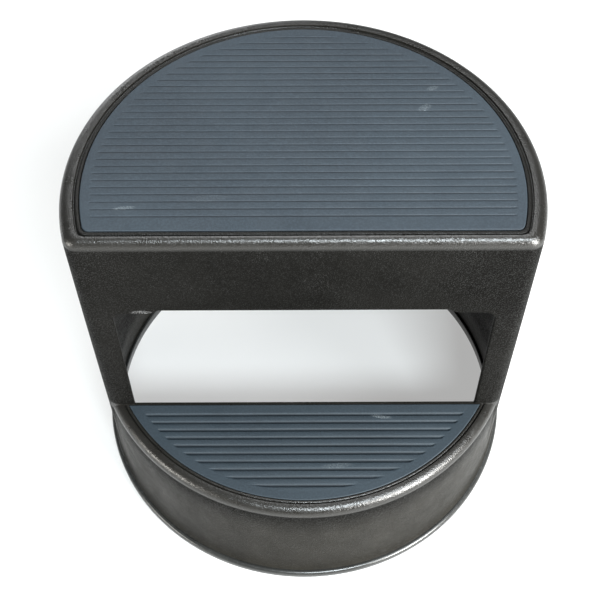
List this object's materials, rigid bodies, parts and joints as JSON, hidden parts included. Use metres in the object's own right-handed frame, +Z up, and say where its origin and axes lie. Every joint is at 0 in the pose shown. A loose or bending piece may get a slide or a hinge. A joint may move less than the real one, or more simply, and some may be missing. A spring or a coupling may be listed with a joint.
{
  "type": "step stool",
  "caption": "Round step stool with a low front step: hollow moulded shell with a front hand opening, ribbed half-moon tread mats in both decks, a beaded base ring and non-slip floor pads.",
  "frame": {"origin": "centre of the base ring, on the floor under the pads", "axes": "+Z up, +X to the right when facing the stool, low step towards -Y, tall closed back towards +Y"},
  "size_m": [0.4199, 0.42, 0.378],
  "materials": {
    "shell_plastic": "fine leather-like moulded grain, satin",
    "upper_mat_rubber": "matte blue-grey, fine tooth, faintly dusty",
    "lower_mat_rubber": "matte slate blue-grey, scuffed on the rib tops",
    "ring_vinyl": "smooth, semi-gloss",
    "pad_rubber": "matte black"
  },
  "bodies": {
    "root": {"shell": "shell_plastic", "upper_tread_mat": "upper_mat_rubber", "lower_tread_mat": "lower_mat_rubber", "base_ring": "ring_vinyl", "floor_pad_1": "pad_rubber", "floor_pad_2": "pad_rubber", "floor_pad_3": "pad_rubber", "floor_pad_4": "pad_rubber", "floor_pad_5": "pad_rubber", "floor_pad_6": "pad_rubber"}
  },
  "joints": []
}
